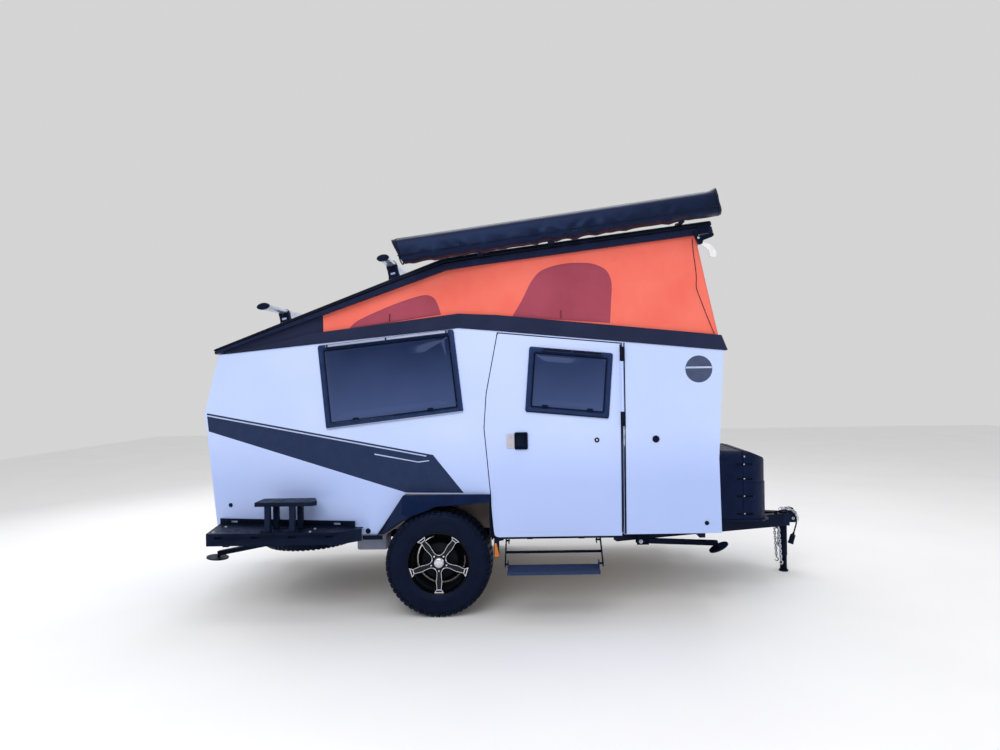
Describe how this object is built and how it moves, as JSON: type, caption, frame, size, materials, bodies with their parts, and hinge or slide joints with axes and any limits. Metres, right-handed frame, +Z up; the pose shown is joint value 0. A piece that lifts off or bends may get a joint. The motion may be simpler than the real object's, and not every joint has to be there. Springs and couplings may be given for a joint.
{
  "type": "pop-up camping trailer",
  "caption": "Small angular camping trailer standing on its tongue jack, with a rear-hinged pop-up roof, fabric walls, side door, entry step and a corner tray.",
  "frame": {"origin": "on the ground, at the centre of the jack foot's sole, in the trailer's middle plane", "axes": "+X forward along the tongue, +Y to the trailer's left, +Z up"},
  "size_m": [4.6229, 2.1623, 2.8491],
  "materials": {
    "panel_white": "gloss laminate",
    "black_steel": "satin powder coat",
    "galvanised": "galvanised",
    "black_plastic": "grained",
    "dark_acrylic": "smoked gloss",
    "black_aluminium": "black anodised",
    "silver_aluminium": "anodised",
    "alloy": "gloss black, machined edges",
    "tyre": "moulded",
    "board": "sealed plywood",
    "tent_fabric": "woven",
    "awning_vinyl": "coated vinyl",
    "grey_plastic": "grained",
    "lamp_plastic": "moulded lens"
  },
  "bodies": {
    "trailer": {"chassis": "galvanised", "coupler": "black_steel", "floor": "board", "gas_cover": "black_plastic", "jack_housing": "black_steel", "lamps": "lamp_plastic", "rear_tray": "black_steel", "safety_chains": "galvanised", "side_windows": "dark_acrylic", "spare_rim": "alloy", "spare_tyre": "tyre", "suspension": "black_steel", "tent": "tent_fabric", "tent_skirt": "awning_vinyl", "tongue": "black_steel", "tray_stand": "black_steel", "wall_front": "panel_white", "wall_left": "panel_white", "wall_rear": "panel_white", "wall_right_front": "panel_white", "wall_right_rear": "panel_white", "water_tank": "grey_plastic", "wheel_arch_left": "black_plastic", "wheel_arch_right": "black_plastic", "wiring_cord": "black_plastic", "wiring_plug": "black_plastic"},
    "jack_leg": {"jack_leg": "galvanised"},
    "wheel_right": {"tyre_right": "tyre", "rim_right": "alloy", "hub_right": "galvanised"},
    "wheel_left": {"tyre_left": "tyre", "rim_left": "alloy", "hub_left": "galvanised"},
    "door": {"door": "panel_white", "door_window": "dark_acrylic", "door_hinge": "silver_aluminium", "door_latch": "black_plastic"},
    "roof": {"roof_rim": "black_aluminium", "roof_panel": "panel_white", "crossbars": "silver_aluminium", "awning_bag": "awning_vinyl", "awning_brackets": "black_aluminium", "roof_latches": "black_steel"},
    "leg_front_right": {"leg_front_right": "black_steel"},
    "leg_front_left": {"leg_front_left": "black_steel"},
    "leg_rear_right": {"leg_rear_right": "black_steel"},
    "leg_rear_left": {"leg_rear_left": "black_steel"},
    "step_arms": {"step_arms": "black_steel"},
    "step_tread": {"step_tread": "black_steel"}
  },
  "joints": [
    {"name": "jack_slide", "type": "slide", "parent": "trailer", "child": "jack_leg", "axis": [0, 0, 1], "range_m": [-0.15, 0.1]},
    {"name": "wheel_right_spin", "type": "hinge", "parent": "trailer", "child": "wheel_right", "pos_m": [-2.715, -0.868, 0.366], "axis": [0, 1, 0], "continuous": true},
    {"name": "wheel_left_spin", "type": "hinge", "parent": "trailer", "child": "wheel_left", "pos_m": [-2.715, 0.868, 0.366], "axis": [0, 1, 0], "continuous": true},
    {"name": "door_swing", "type": "hinge", "parent": "trailer", "child": "door", "pos_m": [-1.446, -0.994, 1.5], "axis": [0, 0, 1], "range_deg": [0, 110]},
    {"name": "roof_lift", "type": "hinge", "parent": "trailer", "child": "roof", "pos_m": [-4.337, 0, 1.826], "axis": [0, 1, 0], "range_deg": [0, 12.7], "deforming": ["tent", "tent_skirt"]},
    {"name": "leg_front_right_swing", "type": "hinge", "parent": "trailer", "child": "leg_front_right", "pos_m": [-1.27, -0.535, 0.4], "axis": [0, 1, 0], "range_deg": [0, 50]},
    {"name": "leg_front_left_swing", "type": "hinge", "parent": "trailer", "child": "leg_front_left", "pos_m": [-1.27, 0.535, 0.4], "axis": [0, 1, 0], "range_deg": [0, 50]},
    {"name": "leg_rear_right_swing", "type": "hinge", "parent": "trailer", "child": "leg_rear_right", "pos_m": [-4.01, -0.535, 0.426], "axis": [0, -1, 0], "range_deg": [0, 50]},
    {"name": "leg_rear_left_swing", "type": "hinge", "parent": "trailer", "child": "leg_rear_left", "pos_m": [-4.01, 0.535, 0.426], "axis": [0, -1, 0], "range_deg": [0, 50]},
    {"name": "step_swing", "type": "hinge", "parent": "trailer", "child": "step_arms", "pos_m": [-1.931, -0.885, 0.498], "axis": [1, 0, 0], "range_deg": [0, 110]},
    {"name": "step_tread_swing", "type": "hinge", "parent": "step_arms", "child": "step_tread", "pos_m": [-1.931, -1.05, 0.38], "axis": [1, 0, 0], "range_deg": [-110, 0]}
  ],
  "couplings": [
    {"joint": "step_tread_swing", "follows": "step_swing", "ratio": -1}
  ]
}
